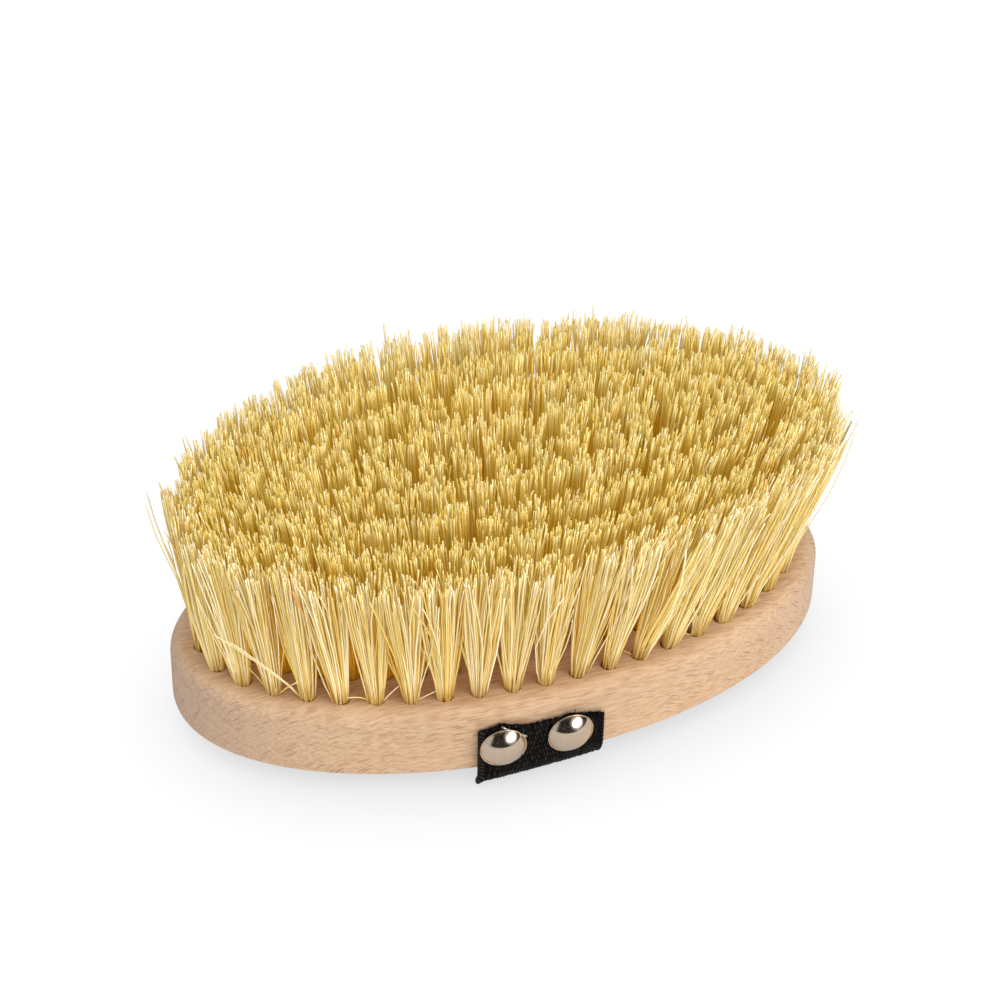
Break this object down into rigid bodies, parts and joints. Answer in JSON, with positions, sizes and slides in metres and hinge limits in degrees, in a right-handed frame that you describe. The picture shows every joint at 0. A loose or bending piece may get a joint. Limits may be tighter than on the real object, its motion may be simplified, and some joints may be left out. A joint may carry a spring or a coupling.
{
  "type": "body dry brush",
  "caption": "Oval wooden dry body brush with plant-fibre tufts in rings on one face and a nailed black elastic hand strap across the other, which lifts to admit a hand.",
  "frame": {"origin": "middle of the resting plane, on the underside of the hand strap, below the centre of the oval block", "axes": "+Z from the hand strap towards the bristle tips, X along the long axis of the block, Y across it; the front long side is at -Y"},
  "size_m": [0.1412, 0.0758, 0.0547],
  "materials": {
    "beech": "raw sanded beech, matt, fine dark flecks along the length",
    "bristle": "unbleached plant fibre, straw coloured, slightly waxy",
    "staple_wire": "drawn steel wire",
    "webbing": "black woven elastic webbing, matt",
    "nickel": "polished nickel dome"
  },
  "bodies": {
    "brush": {"brush_block": "beech", "tufts_ring_1": "bristle", "tufts_ring_2": "bristle", "tufts_ring_3": "bristle", "tufts_ring_4": "bristle", "tufts_middle_row": "bristle", "tuft_staples_ring_1": "staple_wire", "tuft_staples_ring_2": "staple_wire", "tuft_staples_ring_3": "staple_wire", "tuft_staples_ring_4": "staple_wire", "tuft_staples_middle_row": "staple_wire", "strap_front_end": "webbing", "strap_rear_end": "webbing", "nail_front_left": "nickel", "nail_front_right": "nickel", "nail_rear_left": "nickel", "nail_rear_right": "nickel", "strap_staple_front": "staple_wire", "strap_staple_rear": "staple_wire"},
    "strap_loop": {"strap_span": "webbing"}
  },
  "joints": [
    {"name": "strap_lift", "type": "slide", "parent": "brush", "child": "strap_loop", "axis": [0, 0, -1], "range_m": [0, 0.025], "stiffness_N_per_m": 180}
  ]
}
